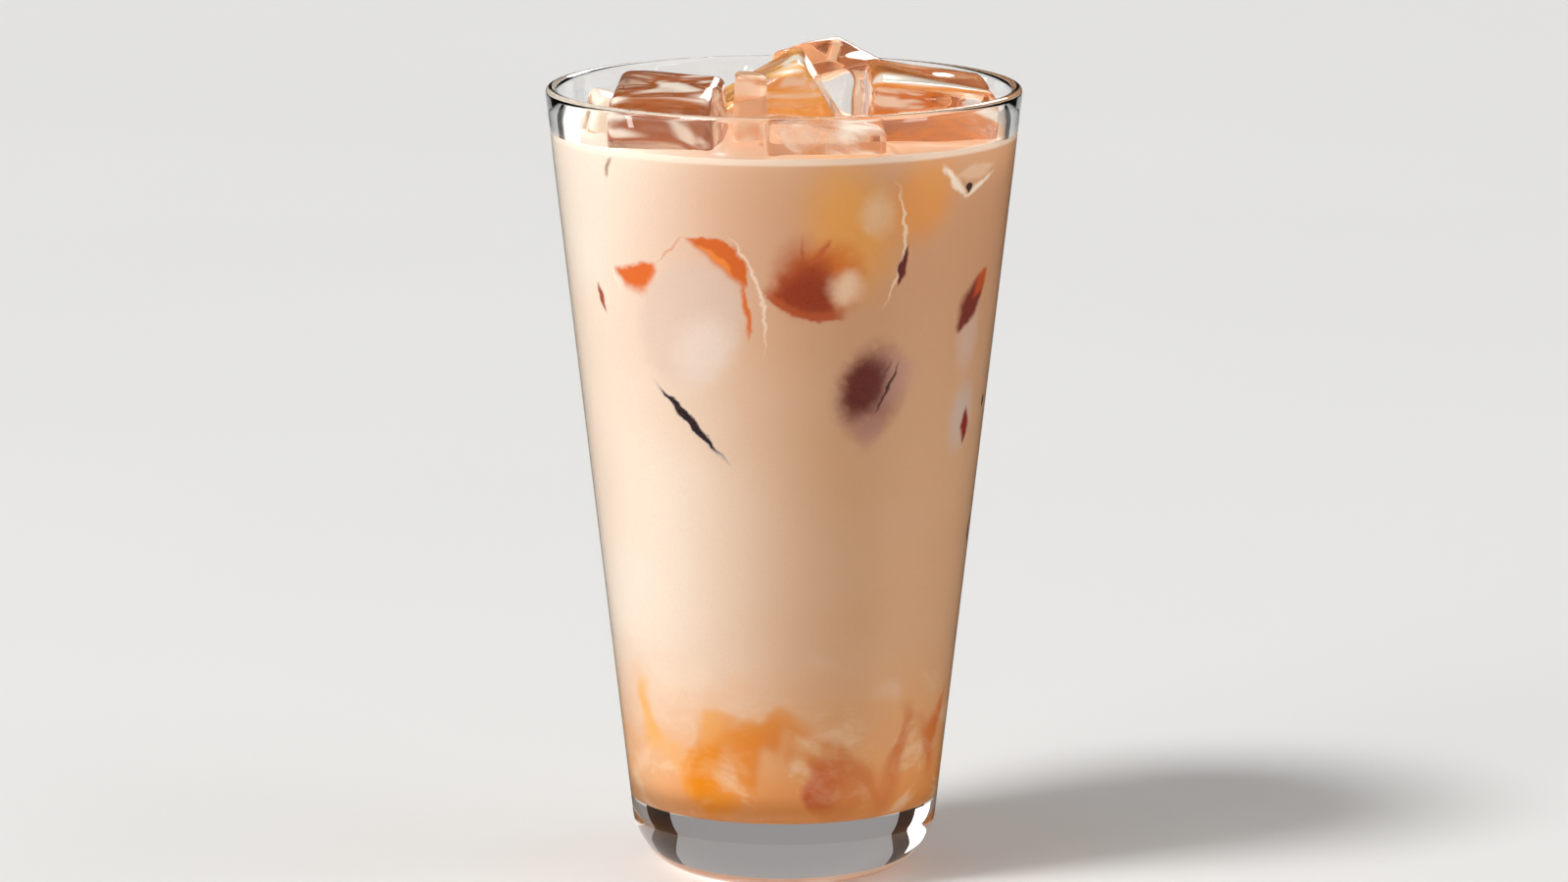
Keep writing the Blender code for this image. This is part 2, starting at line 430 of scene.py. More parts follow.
# Soft round stains, where sunk ice shows through the drink: turn round the glass in degrees, height in mm,
# tilt in degrees, half length and half width in mm, softness from 0 to 1, colour and strength
ROUND_STAINS = (
    # left cube: its pale face
    (-27.0, 109.5, 62.0, 13.5, 10.2, 0.4, (224, 200, 184), 0.85),
    (-23.0, 104.0, 62.0, 8.0, 6.0, 0.9, (238, 222, 208), 0.65),
    # right cube: its glow, and the pale round in it
    (4.6, 118.6, 84.0, 7.4, 5.2, 1.0, (190, 96, 44), 0.85),
    (4.8, 117.0, 80.0, 5.2, 3.6, 1.0, (166, 68, 30), 0.75),
    (18.0, 127.0, 105.0, 13.5, 8.5, 1.0, (242, 174, 88), 0.92),
    (25.0, 129.5, 90.0, 4.6, 3.8, 0.9, (240, 208, 170), 0.70),
    (12.5, 118.0, 90.0, 7.2, 6.2, 0.9, (222, 120, 36), 0.92),
    # beside it, under the surface
    (38.0, 131.5, 70.0, 9.0, 7.0, 0.9, (236, 160, 78), 0.90),
    # low right: a dark round with a fading side
    (25.5, 96.4, 75.0, 9.4, 7.2, 0.7, (160, 106, 90), 0.9),
    (32.0, 98.5, 60.0, 6.0, 5.0, 1.0, (206, 160, 142), 0.65),
    (25.5, 89.5, 80.0, 4.4, 3.2, 1.0, (190, 142, 126), 0.60),
    (23.4, 97.4, 68.0, 6.6, 4.6, 0.75, (96, 22, 8), 0.95),
    (63.0, 89.0, 85.0, 7.0, 4.6, 1.0, (212, 194, 182), 0.80),
    (62.0, 104.0, 85.0, 7.0, 4.0, 1.0, (222, 196, 182), 0.60),
    (80.9, 90.3, 80.0, 1.4, 0.9, 0.5, (34, 40, 30), 0.95),
    (54.1, 132.7, 0.0, 1.1, 0.7, 0.4, (40, 22, 14), 1.0),
    # round the back, which the photograph does not show
    (131.0, 111.0, 62.0, 12.0, 8.5, 0.6, (226, 202, 188), 0.85),
    (-168.0, 122.0, 80.0, 10.0, 7.0, 1.0, (230, 168, 98), 0.80),
    (-171.0, 118.0, 90.0, 5.6, 4.6, 0.9, (228, 140, 70), 0.80),
    (152.0, 96.0, 75.0, 7.6, 6.0, 0.8, (182, 130, 112), 0.85),
    (153.0, 97.0, 70.0, 4.8, 3.4, 0.6, (100, 46, 36), 0.90),
    (-118.0, 104.0, 70.0, 8.0, 6.0, 0.9, (214, 170, 146), 0.75),
    (98.0, 128.0, 75.0, 8.0, 6.0, 0.9, (214, 146, 86), 0.80),
)

# Crescents and slits: turn round the glass in degrees, height in mm, tilt in degrees, half length, bulge on
# the upper side and on the lower side in mm, softness of those two edges in mm, colour and strength
# The pale outlines and the bright spot paint highlights on the sunk ice, and the lit corner paints light on it
CRESCENTS = (
    # left cube: painted light on its lit corner, its ridge and its right edge, and a painted highlight along
    # its pale outline
    (-19.0, 120.1, -42.0, 7.6, 5.6, 0.4, 0.8, 2.0, (216, 100, 16), 0.97),
    (-18.6, 120.9, -42.0, 5.6, 1.8, 0.2, 0.8, 0.8, (244, 148, 60), 0.75),
    (-10.7, 112.0, -84.0, 6.8, 1.2, 0.6, 0.5, 1.0, (222, 108, 24), 0.95),
    (-12.4, 114.5, -76.0, 15.0, 4.4, -3.3, 0.5, 0.5, (252, 230, 208), 0.85),
    (-43.6, 119.0, 12.8, 5.6, 0.9, 6.2, 1.2, 2.8, (218, 100, 10), 0.98),
    (-31.2, 122.6, 44.0, 5.4, 0.5, 0.4, 0.5, 0.5, (214, 142, 106), 0.75),
    (-50.6, 116.2, -62.0, 4.0, 0.2, 0.7, 0.4, 0.4, (252, 236, 218), 0.7),
    (-58.5, 111.8, -73.0, 3.9, 1.0, 1.0, 0.8, 0.8, (150, 56, 14), 0.98),
    (-56.0, 112.4, -78.0, 4.0, 0.5, 0.2, 0.4, 0.4, (252, 238, 222), 0.6),
    (-50.0, 136.8, 66.0, 3.2, 0.8, 0.8, 0.8, 0.8, (140, 104, 78), 0.9),
    # right cube: dark bowl, its core and spikes, with painted highlights as its bright spot and its pale
    # outline
    (5.4, 113.2, -20.0, 8.4, 12.0, 3.0, 8.5, 0.7, (186, 82, 34), 0.96),
    (5.2, 113.6, -20.0, 6.4, 11.0, 2.2, 7.5, 1.8, (150, 52, 18), 0.9),
    (4.6, 123.0, 92.0, 3.9, 0.4, 0.4, 0.5, 0.5, (176, 86, 52), 0.85),
    (9.6, 122.6, 54.0, 4.6, 1.3, 0.7, 1.0, 0.8, (200, 98, 50), 0.85),
    (16.8, 116.2, 70.0, 5.0, 4.8, 4.8, 4.6, 4.6, (250, 220, 184), 0.97),
    (25.5, 123.6, 86.0, 14.6, -4.1, 5.3, 0.5, 0.5, (252, 230, 198), 0.9),
    (33.0, 119.6, 79.5, 4.6, 1.15, 1.05, 0.7, 0.7, (96, 6, 4), 1.0),
    # the white V under the surface at the right
    (48.5, 134.2, -47.0, 6.0, 1.2, 1.2, 1.0, 1.0, (255, 242, 222), 0.97),
    (59.0, 132.8, 24.0, 6.0, 0.9, 0.9, 0.8, 0.8, (255, 242, 222), 0.95),
    (57.0, 135.8, 4.0, 6.4, 1.6, 2.4, 1.2, 1.2, (236, 202, 170), 0.7),
    # right edge: red lens and red spot
    (61.6, 110.7, 54.0, 7.4, 3.9, 3.4, 2.4, 1.4, (118, 28, 16), 0.98),
    (66.0, 113.8, 54.0, 4.4, 2.4, 2.0, 1.6, 1.4, (206, 86, 34), 0.92),
    (66.0, 87.0, 92.0, 4.4, 2.0, 2.0, 1.4, 1.4, (138, 18, 6), 1.0),
    (83.6, 65.2, 85.0, 3.4, 1.0, 1.0, 0.6, 0.6, (46, 26, 16), 0.95),
    # low right: the dark round's crease
    (30.6, 96.8, 62.6, 7.0, 0.55, 0.55, 0.5, 0.5, (62, 16, 18), 0.97),
    (27.5, 98.5, 58.0, 6.0, 0.2, 1.4, 0.6, 0.9, (112, 50, 40), 0.7),
    # left: the long dark slit and the grey round it
    (-28.0, 90.2, -45.5, 13.4, 1.5, 1.3, 1.2, 1.2, (206, 190, 178), 0.8),
    (-27.6, 90.0, -45.5, 12.6, 0.9, 0.8, 0.7, 0.7, (126, 114, 126), 0.85),
    (-28.4, 90.6, -46.0, 9.0, 1.25, 0.95, 0.5, 0.5, (8, 2, 18), 1.0),
    # round the back
    (126.0, 119.0, -38.0, 7.4, 4.4, 0.2, 0.4, 0.9, (226, 102, 14), 0.97),
    (137.0, 110.5, -84.0, 12.0, 2.0, -1.4, 0.4, 0.4, (250, 230, 210), 0.75),
    (-176.0, 114.0, 18.0, 7.6, 8.4, 1.2, 4.8, 0.5, (168, 66, 24), 0.97),
    (-163.0, 120.0, 94.0, 12.0, -3.4, 4.0, 0.4, 0.5, (248, 226, 196), 0.8),
    (-140.0, 100.0, -50.0, 8.4, 0.9, 0.8, 0.5, 0.5, (14, 4, 18), 1.0),
    (-106.0, 120.0, 76.0, 5.4, 1.6, 1.4, 0.9, 0.9, (138, 38, 18), 0.97),
    (109.0, 92.0, 80.0, 4.6, 1.0, 1.0, 0.7, 0.7, (138, 26, 12), 0.97),
    (100.0, 112.0, 82.0, 4.4, 0.8, 0.8, 0.5, 0.5, (104, 14, 6), 0.97),
)

# Amber blots in the swirl at the bottom, listed as the round stains are
AMBER_BLOTS = (
    (-10.0, 48.4, -8.0, 9.5, 2.6, 1.0, (234, 182, 124), 0.7),
    (-14.0, 41.5, 0.0, 20.2, 7.2, 1.0, (238, 212, 186), 0.75),
    (-52.0, 29.0, -36.0, 20.2, 4.3, 1.0, (242, 182, 104), 0.9),
    (-10.0, 27.0, 30.0, 15.5, 12.6, 1.0, (224, 144, 62), 0.97),
    (-44.0, 21.5, -20.0, 10.8, 3.8, 1.0, (244, 184, 104), 0.8),
    (-60.0, 18.0, 16.0, 15.0, 8.0, 1.0, (246, 220, 192), 0.92),
    (2.0, 22.0, 0.0, 19.0, 9.0, 1.0, (216, 128, 54), 0.92),
    (-28.0, 21.0, 20.0, 13.5, 9.6, 1.0, (230, 138, 0), 1.0),
    (-27.0, 33.5, 60.0, 9.0, 5.4, 1.0, (234, 168, 88), 0.75),
    (9.0, 20.5, 24.0, 10.0, 5.0, 0.9, (190, 56, 0), 1.0),
    (44.0, 24.0, 10.0, 26.3, 10.0, 1.0, (208, 124, 66), 0.9),
    (30.0, 36.0, 24.0, 14.9, 3.5, 1.0, (232, 200, 170), 0.5),
    (76.0, 28.0, 10.0, 12.2, 8.7, 1.0, (216, 116, 50), 0.85),
    (104.0, 24.0, -10.0, 17.6, 8.7, 1.0, (242, 166, 70), 0.9),
    (138.0, 27.0, 24.0, 16.2, 10.2, 1.0, (230, 134, 66), 0.9),
    (166.0, 22.0, -20.0, 13.5, 7.2, 1.0, (248, 172, 58), 0.95),
    (-164.0, 30.0, 36.0, 16.2, 5.8, 1.0, (236, 160, 84), 0.85),
    (-138.0, 23.0, -12.0, 16.2, 8.7, 1.0, (226, 118, 54), 0.85),
    (-106.0, 27.0, 20.0, 17.6, 7.2, 1.0, (246, 172, 66), 0.9),
)


def wall_place(finish, x, y, z):
    """The drink's wall rolled out flat, in mm: along it by the turn round Z, and up it by the height."""
    side = finish.math("ARCTAN2", x, y * -1.0) * WALL_SCALE
    return finish.node("ShaderNodeCombineXYZ", None, {0: side, 1: z * (1 / MM), 2: 0.0})


def local_place(finish, wall, centre, level, tilt, scale):
    """The rolled-out wall, seen from the middle of one stain and along its length."""
    return finish.node("ShaderNodeMapping", {"vector_type": "TEXTURE"}, {
        "Vector": wall,
        "Location": (math.radians(centre) * WALL_SCALE, level, 0.0),
        "Rotation": (0.0, 0.0, math.radians(tilt)),
        "Scale": scale,
    })


def round_stain(finish, colour, wall, stain):
    """Mixes in one stain, whose strength falls off towards the edge of an ellipse."""
    centre, level, tilt, length, width, soft, tone, strength = stain
    local = local_place(finish, wall, centre, level, tilt, (length, width, 1.0))
    far = finish.vector_math("LENGTH", {0: local}, "Value")
    share = finish.rise(far, 1.0 + STAIN_FADE_OUT * soft, 1.0 - STAIN_FADE_IN * soft, strength)
    return finish.mix(share, colour, srgb(*tone))


def crescent(finish, colour, wall, stain):
    """Mixes in one stain between two parabolas, bulge (1 - a^2), with a from -1 to 1 along its length."""
    centre, level, tilt, length, above, below, soft_above, soft_below, tone, strength = stain
    along, across, _ = finish.split(local_place(finish, wall, centre, level, tilt, (length, 1.0, 1.0)))
    bow = finish.math("MULTIPLY_ADD", along, along, -1.0)
    over = finish.rise(finish.math("MULTIPLY_ADD", bow, above, across), 0.0, -soft_above)
    under = finish.rise(finish.math("MULTIPLY_ADD", bow, -below, across), 0.0, soft_below, strength)
    return finish.mix(over * under, colour, srgb(*tone))


# Drink. Each is where a tone starts, where it is full and, if there is a third value, how strong it gets.
# Those across are in metres, from the lit left to the shaded right, and heights are in mm
CLOUD_NOISE = (20.0, 2.0)
CLOUD_RISE = (0.35, 0.7, 0.22)
# painted shade: the drink turns from milk to tan from the lit left to the shaded right
SHADE_ACROSS = (-0.036, 0.014, 0.95)
# darker tan towards the top; it is held off the lit left side, and that side part is painted shade
HIGH_HEIGHT, HIGH_SHADE_ACROSS = (80.0, 134.0, 0.6), (-0.042, -0.002)
GRAIN_NOISE = (2600.0, 2.0)
GRAIN_RISE = (0.4, 0.8, 0.10)
FRAY = (2.0, 0.42, 4.0)  # mm moved, noise for each mm, and detail, for the edges of the stains
FOLDS = ((12.0, 0.035, 1.0), (5.0, 0.075, 2.0))  # the same for the swirl, one after the other
TUFT_TURN, TUFT_SCALE = 35.0, (0.055, 0.13, 0.1)
TUFT_NOISE = (1.0, 4.0, 0.62)
HAZE_BREAK = 26.0  # mm that the tufts move the haze's edge
HAZE_HEIGHT = (50.0, 16.0, 0.80)
# the deep amber at the bottom is held off the lit left side, and that side part is painted shade
FOOT_HEIGHT, FOOT_SHADE_ACROSS = (29.0, 15.0, 0.7), (-0.028, -0.012)
PALE_RISE, PALE_HEIGHT = (0.50, 0.66, 0.6), (44.0, 24.0)
PALE_VEIL = 0.35  # strength of the pale tufts over the blots, as a share of theirs under the blots
# painted highlight: a pale line along the brim, where the drink climbs the glass
BRIM_HIGHLIGHT_RADIUS, BRIM_HIGHLIGHT_HEIGHT, BRIM_HIGHLIGHT_STRENGTH = (0.0392, 0.0408), (138.7, 139.4), 0.6
# painted light: emission that makes the drink's foot glow
GLOW_HEIGHT, GLOW_STRENGTH = (30.0, 13.0), 0.10
WET_RISE, WET_VARIES, WET_ROUGHNESS = (0.2, 0.8), 0.12, 0.26
BLACK = (0.0, 0.0, 0.0, 1.0)


def drink_finish(colours):
    """Milky coffee: warm cream with painted shade towards the right, a swirled amber foot with a painted glow,
    a painted highlight along the brim, and soft stains where sunk ice touches the wall, with painted
    highlights in them.
    """
    finish = Finish("milky_coffee")
    place = finish.place()
    x, y, z = finish.split(place)
    wall = wall_place(finish, x, y, z)
    height = z * (1 / MM)

    cloud = finish.noise(place, *CLOUD_NOISE)
    # tan clouds, and painted shade: tan across from the lit left to the shaded right
    shade = finish.rise(cloud, *CLOUD_RISE) + finish.rise(x, *SHADE_ACROSS)
    colour = finish.mix(shade, opaque(colours.milk), opaque(colours.tan))
    # darker tan towards the top, held off the lit left side as painted shade
    high = finish.rise(height, *HIGH_HEIGHT) * finish.rise(x, *HIGH_SHADE_ACROSS)
    colour = finish.mix(high, colour, opaque(colours.high))

    grain = finish.noise(place, *GRAIN_NOISE)
    frayed = finish.warp(wall, *FRAY)
    for stain in ROUND_STAINS:
        colour = round_stain(finish, colour, frayed, stain)
    for stain in CRESCENTS:
        colour = crescent(finish, colour, frayed, stain)

    # the amber foot: a haze all the way round, then blots on a rolled-out wall that is folded over itself
    swirl = wall
    for fold in FOLDS:
        swirl = finish.warp(swirl, *fold)
    _, swirl_height, _ = finish.split(swirl)
    flow = finish.node("ShaderNodeMapping", None, {
        "Vector": swirl,
        "Rotation": (0.0, 0.0, math.radians(TUFT_TURN)),
        "Scale": TUFT_SCALE,
    })
    tufts = finish.noise(flow, *TUFT_NOISE)
    haze = finish.rise(swirl_height + (tufts - 0.5) * HAZE_BREAK, *HAZE_HEIGHT)
    colour = finish.mix(haze, colour, opaque(colours.amber))
    # deep amber at the bottom, held off the lit left side as painted shade
    foot = finish.rise(height, *FOOT_HEIGHT) * finish.rise(x, *FOOT_SHADE_ACROSS)
    colour = finish.mix(foot, colour, opaque(colours.foot))
    pale = finish.rise(tufts, *PALE_RISE) * finish.rise(swirl_height, *PALE_HEIGHT)
    colour = finish.mix(pale, colour, opaque(colours.tufts))
    for stain in AMBER_BLOTS:
        colour = round_stain(finish, colour, swirl, stain)
    colour = finish.mix(pale * PALE_VEIL, colour, opaque(colours.veil))
    colour = finish.mix(finish.rise(grain, *GRAIN_RISE), colour, opaque(colours.rust))

    # painted highlight: a pale line on the brim, where the drink climbs the wall
    level_place = finish.node("ShaderNodeCombineXYZ", None, {0: x, 1: y, 2: 0.0})
    from_axis = finish.vector_math("LENGTH", {0: level_place}, "Value")
    brim = finish.rise(from_axis, *BRIM_HIGHLIGHT_RADIUS) * finish.rise(height, *BRIM_HIGHLIGHT_HEIGHT)
    colour = finish.mix(brim * BRIM_HIGHLIGHT_STRENGTH, colour, opaque(colours.brim))

    # painted light: an emission glow lifts the round foot that faces down, standing in for the light that milk
    # spreads inside it
    glow = finish.mix(finish.rise(height, *GLOW_HEIGHT), BLACK, colour)
    shader = finish.node("ShaderNodeBsdfPrincipled", None, {
        "Base Color": colour,
        "Roughness": finish.rise(grain, *WET_RISE) * WET_VARIES + WET_ROUGHNESS,
        "IOR": DRINK_IOR,
        "Emission Color": glow,
        "Emission Strength": GLOW_STRENGTH,
    })
    return finish.surface(shader)


# Ice: each look is the colour of its stain and how much of the block is stained, from 0 to 1
ICE_LOOKS = {
    "ice_left": ((164, 84, 32), 0.86),
    "ice_front": ((240, 216, 196), 0.62),
    "ice_peak": ((248, 182, 96), 0.80),
    "ice_tall": ((222, 214, 206), 0.10),
    "ice_right": ((226, 138, 62), 0.84),
    "ice_back_left": ((224, 160, 104), 0.45),
    "ice_back_right": ((220, 168, 124), 0.35),
    "ice_chip": ((250, 238, 220), 1.0),
    "ice_chunk": ((240, 190, 150), 0.90),
}
STREAK_SHIFT, STREAK_TURN = (0.37, 0.11, 0.0), (0.5, 0.3, 0.9)  # for each next block
STREAK_SCALE = (0.45, 1.0, 1.5)
STREAK_NOISE = (78.0, 3.0, 0.5, 1.1)
FILM_START, FILM_FULL, FILM_SPREAD, FILM_STRENGTH = 0.66, 0.80, 0.30, 0.9
CREAM_RISE, RUST_RISE = (0.54, 0.64), (0.47, 0.38)
CLEAR_RISE, CLEAR_VARIES, CLEAR_ROUGHNESS = (0.2, 0.4), -0.05, 0.06
CLOUDY_ROUGHNESS = 0.10
ICE_SHADOW = (0.93, 0.88, 0.82, 1.0)


def ice_finish(name, colours, index):
    """Wet ice: clear, with cloudy and coffee-stained parts that the mix between two shaders brings in."""
    stain, stained = ICE_LOOKS[name]
    finish = Finish(name + "_wet")
    place = finish.node("ShaderNodeMapping", None, {
        "Vector": finish.place(),
        "Location": [index * shift for shift in STREAK_SHIFT],
        "Rotation": [index * turn for turn in STREAK_TURN],
        "Scale": STREAK_SCALE,
    })
    streak = finish.noise(place, *STREAK_NOISE)
    film = finish.rise(streak, FILM_START - FILM_SPREAD * stained, FILM_FULL - FILM_SPREAD * stained)
    clear = finish.node("ShaderNodeBsdfPrincipled", None, {
        "Base Color": opaque(colours.ice),
        "Roughness": finish.rise(streak, *CLEAR_RISE) * CLEAR_VARIES + CLEAR_ROUGHNESS,
        "IOR": ICE_IOR,
        "Transmission Weight": 1.0,
    })
    pale = finish.mix(finish.rise(streak, *CREAM_RISE), srgb(*stain), opaque(colours.ice_cream))
    tone = finish.mix(finish.rise(streak, *RUST_RISE), pale, opaque(colours.ice_rust))
    cloudy = finish.node("ShaderNodeBsdfPrincipled", None, {
        "Base Color": tone,
        "Roughness": CLOUDY_ROUGHNESS,
        "IOR": ICE_IOR,
    })
    mixed = finish.node("ShaderNodeMixShader", None, {0: film * FILM_STRENGTH, 1: clear, 2: cloudy})
    return finish.surface(clear_for_lamps(finish, mixed, ICE_SHADOW))


def floor_corner(reach, count):
    """The round corner between inner floor and leaning wall, moved out by reach, from the floor up."""
    lean_in = math.atan(INNER_SLOPE)
    centre_z = FLOOR_HEIGHT + FLOOR_CORNER
    centre_x = inner_radius(centre_z) - FLOOR_CORNER / math.cos(lean_in)
    return arc(centre_x, centre_z, FLOOR_CORNER + reach, -90.0, -math.degrees(lean_in), count)


def glass_profile():
    """From the middle of the inner floor, up the inner wall, over the rim, down outside and back under."""
    bead = RIM_WALL / 2
    rim_z = GLASS_HEIGHT - bead
    corner = floor_corner(0.0, CORNER_POINTS)
    rim = arc(outer_radius(rim_z) - bead, rim_z, bead, 180.0, 0.0, RIM_POINTS)
    heel_x = outer_radius(HEEL_RADIUS) - HEEL_RADIUS / math.cos(LEAN)
    heel = arc(heel_x, HEEL_RADIUS, HEEL_RADIUS, -math.degrees(LEAN), -90.0, HEEL_POINTS)
    share = np.linspace(1.0, PUNT_MIDDLE, PUNT_POINTS)[:, None]
    punt = np.hstack((PUNT_RADIUS * share, PUNT_DEPTH * (1 - share**2)))
    start, end = (0.0, FLOOR_HEIGHT), (0.0, PUNT_DEPTH)
    floor = stretch(start, corner[0], FLOOR_ROWS)
    inside = stretch(corner[-1], rim[0], WALL_ROWS)
    outside = stretch(rim[-1], heel[0], WALL_ROWS)
    under = stretch(heel[-1], punt[0], UNDER_ROWS)
    return np.concatenate(([start], floor, corner, inside, rim, outside, heel, under, punt, [end]))


def drink_profile():
    """The space inside the glass and a little into its wall, from the floor's middle to the level's middle."""
    corner = floor_corner(REACH, DRINK_CORNER_POINTS)
    brim = (inner_radius(LEVEL) + REACH, LEVEL)
    start, end = (0.0, FLOOR_HEIGHT - REACH), (0.0, LEVEL)
    wall = stretch(corner[-1], brim, DRINK_ROWS)
    floor = stretch(start, corner[0], DRINK_FLOOR_ROWS)
    inward = brim[0] * (1 - np.linspace(0.0, 1.0, TOP_RINGS)[1:-1] ** TOP_CROWDING)
    top = np.column_stack((inward, np.full_like(inward, LEVEL)))
    return np.concatenate(([start], floor, corner, wall, [brim], top, [end]))


def to_ice(points, index):
    """Distance from each point to one block, as the distance to its box without the melting."""
    _, place, size, turn = ICE[index]
    local = (points - np.array(place) * MM) @ block_turn(turn)
    half = np.array(size) * MM / 2
    rounding = min(ICE_ROUNDING, ROUNDING_SHARE * 2 * half.min())
    out = np.abs(local) - (half - rounding)
    return np.linalg.norm(np.maximum(out, 0.0), axis=-1) + np.minimum(out.max(axis=-1), 0.0) - rounding


def drink_lift(x, y, z, sizes):
    """Raises the level where it climbs the wall and each block, by an exponential of the distance to them."""
    rise, width = sizes.meniscus_rise, sizes.meniscus_width
    on_top = z > LEVEL - LEVEL_TOLERANCE
    to_wall = inner_radius(LEVEL) + REACH - np.hypot(x, y)
    climb = rise * np.exp(-np.maximum(to_wall, 0.0) / width)
    points = np.stack((x, y, z), axis=-1).reshape(-1, 3)
    for index in range(len(ICE)):
        near = np.maximum(to_ice(points, index), 0.0).reshape(x.shape)
        climb = np.maximum(climb, rise * np.exp(-near / width))
    swell = ripples(points, SWELL, SWELL_WAVES, SWELL_SHORTEST, SWELL_LONGEST, SWELL_SEED).reshape(x.shape)
    return np.where(on_top, z + climb + swell, z)


def dress(piece, material, slot, *nodes):
    """Gives a finished piece its material and its body, and hides the nodes that it stands for. slot is not
    used.
    """
    piece.data.materials.clear()
    piece.data.materials.append(material)
    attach(piece, "root")
    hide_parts(*nodes)


class LatteSizes(bpy.types.PropertyGroup):
    """Sizes that change the looks and stay inside the solids' box"""

    meniscus_rise: FloatProperty(
        name="Meniscus height", description="How far the drink climbs the glass and the ice",
        unit="LENGTH", default=1.1 * MM)
    meniscus_width: FloatProperty(
        name="Meniscus width", description="Distance over which that climb fades",
        unit="LENGTH", default=1.3 * MM)
    ice_waviness: FloatProperty(
        name="Ice waviness", description="Height of the melted waves on the ice",
        unit="LENGTH", default=0.42 * MM)


class LatteColours(bpy.types.PropertyGroup):
    """Tints and tones of the glass, the ice and the drink"""

    glass: FloatVectorProperty(
        name="Glass", description="Tint of the glass", subtype="COLOR", default=(0.985, 0.99, 0.988))
    ice: FloatVectorProperty(
        name="Ice", description="Tint of clear ice", subtype="COLOR", default=(0.97, 0.95, 0.92))
    ice_cream: FloatVectorProperty(
        name="Cream on ice", description="Palest streaks on the ice",
        subtype="COLOR", default=srgb(255, 244, 226)[:3])
    ice_rust: FloatVectorProperty(
        name="Rust on ice", description="Darkest streaks on the ice",
        subtype="COLOR", default=srgb(196, 98, 36)[:3])
    # painted light: the milk is the drink's cream as painted on its lit left side
    milk: FloatVectorProperty(
        name="Milk", description="Palest side of the drink",
        subtype="COLOR", default=srgb(242, 231, 217)[:3])
    # tan clouds, and painted shade: the tan also paints the drink's shaded right side
    tan: FloatVectorProperty(
        name="Tan", description="Darker side and clouds of the drink",
        subtype="COLOR", default=srgb(219, 175, 135)[:3])
    # darker tan towards the top, held off the lit left side as painted shade
    high: FloatVectorProperty(
        name="High tan", description="Drink below the surface, among the ice",
        subtype="COLOR", default=srgb(217, 160, 118)[:3])
    # painted highlight: the pale line along the meniscus
    brim: FloatVectorProperty(
        name="Brim", description="Pale line where the drink climbs the glass",
        subtype="COLOR", default=srgb(254, 240, 222)[:3])
    amber: FloatVectorProperty(
        name="Amber", description="Haze over the foot of the drink",
        subtype="COLOR", default=srgb(232, 166, 98)[:3])
    # deep amber at the bottom, held off the lit left side as painted shade
    foot: FloatVectorProperty(
        name="Foot", description="Deep amber at the very bottom",
        subtype="COLOR", default=srgb(220, 134, 58)[:3])
    tufts: FloatVectorProperty(
        name="Tufts", description="Pale tufts under the amber blots",
        subtype="COLOR", default=srgb(240, 208, 170)[:3])
    veil: FloatVectorProperty(
        name="Veil", description="Pale tufts over the amber blots",
        subtype="COLOR", default=srgb(242, 206, 164)[:3])
    rust: FloatVectorProperty(
        name="Rust", description="Fine grain in the drink",
        subtype="COLOR", default=srgb(214, 104, 40)[:3])


class LatteStage(bpy.types.PropertyGroup):
    """Strengths of the lights, named as the lights are"""

    sun_light: FloatProperty(
        name="Sun", description="Strength of the even light from the upper left", default=2.15)
    far_fill: FloatProperty(
        name="Far fill", description="Strength of the even light from the right", default=0.9)
    key_light: FloatProperty(
        name="Key light", description="Power of the large light at the left", unit="POWER", default=2.5)
    fill_light: FloatProperty(
        name="Fill light", description="Power of the light at the right", unit="POWER", default=0.9)
    back_light: FloatProperty(
        name="Back light", description="Power of the light behind", unit="POWER", default=2.5)
    low_light: FloatProperty(
        name="Low light", description="Power of the light seen in the foot", unit="POWER", default=0.12)
    strip_light: FloatProperty(
        name="Strip light", description="Power of the narrow light", unit="POWER", default=0.35)
    world: FloatProperty(
        name="World", description="Strength of the even light from all round", default=0.34)


class LATTE_OT_glass(bpy.types.Operator):
    """Build the glass"""

    bl_idname = "latte.glass"
    bl_label = "Glass"

    def execute(self, context):
        points, faces = turned_surface(glass_profile(), TURN_COLUMNS)
        glass = new_mesh_object("glass_body", points, faces, GLASS_SHARP_EDGE)
        dress(glass, glass_finish(context.scene.latte_colours), "clear_glass", "glass")
        return {"FINISHED"}


class LATTE_OT_drink(bpy.types.Operator):
    """Build the drink, with a pocket for each block of ice"""

    bl_idname = "latte.drink"
    bl_label = "Drink"

    def execute(self, context):
        sizes = context.scene.latte_sizes
        points, faces = turned_surface(
            drink_profile(), TURN_COLUMNS, lambda x, y, z: drink_lift(x, y, z, sizes))
        drink = new_mesh_object("drink_body", points, faces)
        pockets = []
        for index in range(len(ICE)):
            block, block_faces = ice_points(index, POCKET_CELLS, sizes.ice_waviness, -POCKET_SHRINK)
            pockets.append(new_mesh_object("pocket_%d" % index, block, block_faces))
            cut = drink.modifiers.new("Pocket", "BOOLEAN")
            cut.operation = "DIFFERENCE"
            cut.solver = "MANIFOLD"
            cut.object = pockets[-1]
        graph = context.evaluated_depsgraph_get()
        whole = drink.data
        drink.data = bpy.data.meshes.new_from_object(drink.evaluated_get(graph))
        drink.modifiers.clear()
        bpy.data.meshes.remove(whole)
        for pocket in pockets:
            bpy.data.objects.remove(pocket)
        drink.data.shade_smooth()
        drink.data.set_sharp_from_angle(angle=math.radians(DRINK_SHARP_EDGE))
        dress(drink, drink_finish(context.scene.latte_colours), "milky_coffee", "drink", "amber_layer")
        return {"FINISHED"}


